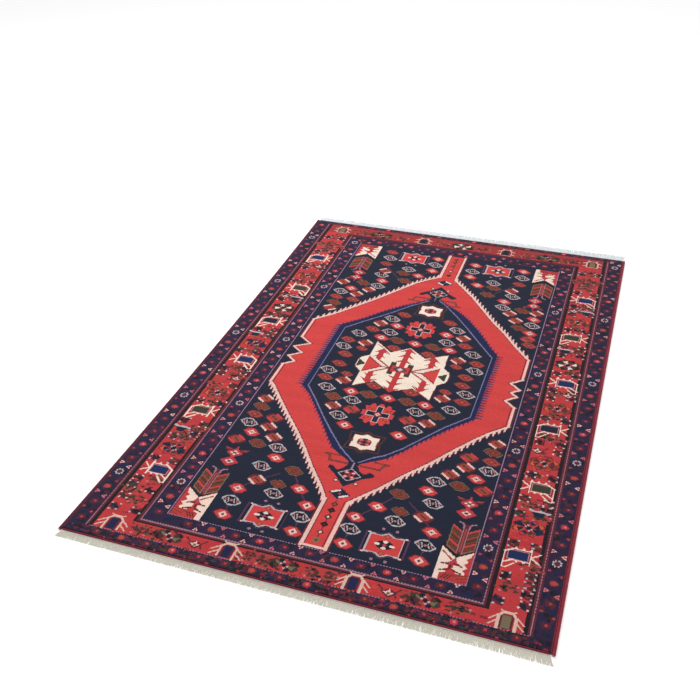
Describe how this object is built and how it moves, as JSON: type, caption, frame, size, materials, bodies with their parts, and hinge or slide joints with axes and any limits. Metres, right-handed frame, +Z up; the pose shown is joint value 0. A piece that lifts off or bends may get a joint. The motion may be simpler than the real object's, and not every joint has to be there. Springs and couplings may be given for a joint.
{
  "type": "area rug",
  "caption": "Hand-knotted wool village rug with guard and main borders around a medallion field, overcast selvedges and a short cotton fringe across each end.",
  "frame": {"origin": "on the floor, under the middle of the whole rug, fringes included", "axes": "+Z up through the pile; +Y along the warps, towards the far end with the longer, paler fringe; +X across the rug"},
  "size_m": [1.3175, 2.0649, 0.011],
  "materials": {
    "field_wool": "clipped wool pile in navy with coral red, blue, ivory, pink and brown knots",
    "border_wool": "clipped wool pile in madder red with multicoloured knots",
    "guard_wool": "clipped wool pile in dark aubergine with small red and white flowers",
    "ground_cotton": "back of the knots and cotton wefts, ribbed and matt",
    "core_cotton": "bundled cotton warps",
    "edge_wool": "crimson wool yarn, overcast or twined",
    "dark_cord_wool": "indigo wool yarn, twined",
    "warp_cotton": "cream cotton, plain-woven web and cut twisted warp ends"
  },
  "bodies": {
    "rug": {"foundation": "ground_cotton", "field_pile": "field_wool", "outer_guard_pile_near": "guard_wool", "outer_guard_pile_far": "guard_wool", "outer_guard_pile_left": "guard_wool", "outer_guard_pile_right": "guard_wool", "main_border_pile_near": "border_wool", "main_border_pile_far": "border_wool", "main_border_pile_left": "border_wool", "main_border_pile_right": "border_wool", "inner_guard_pile_near": "guard_wool", "inner_guard_pile_far": "guard_wool", "inner_guard_pile_left": "guard_wool", "inner_guard_pile_right": "guard_wool", "selvedge_core_left": "core_cotton", "selvedge_wrap_left": "edge_wool", "selvedge_core_right": "core_cotton", "selvedge_wrap_right": "edge_wool", "end_cord_near": "edge_wool", "web_near": "warp_cotton", "end_cord_far": "dark_cord_wool", "web_far": "warp_cotton"},
    "near_fringe": {"fringe_near": "warp_cotton"},
    "far_fringe": {"fringe_far": "warp_cotton"}
  },
  "joints": [
    {"name": "near_fringe_fold", "type": "hinge", "parent": "rug", "child": "near_fringe", "pos_m": [0, -1.0125, 0.0065], "axis": [-1, 0, 0], "range_deg": [0, 175]},
    {"name": "far_fringe_fold", "type": "hinge", "parent": "rug", "child": "far_fringe", "pos_m": [0.0033, 0.9855, 0.0065], "axis": [0.9999, 0.0108, 0], "range_deg": [0, 175]}
  ]
}
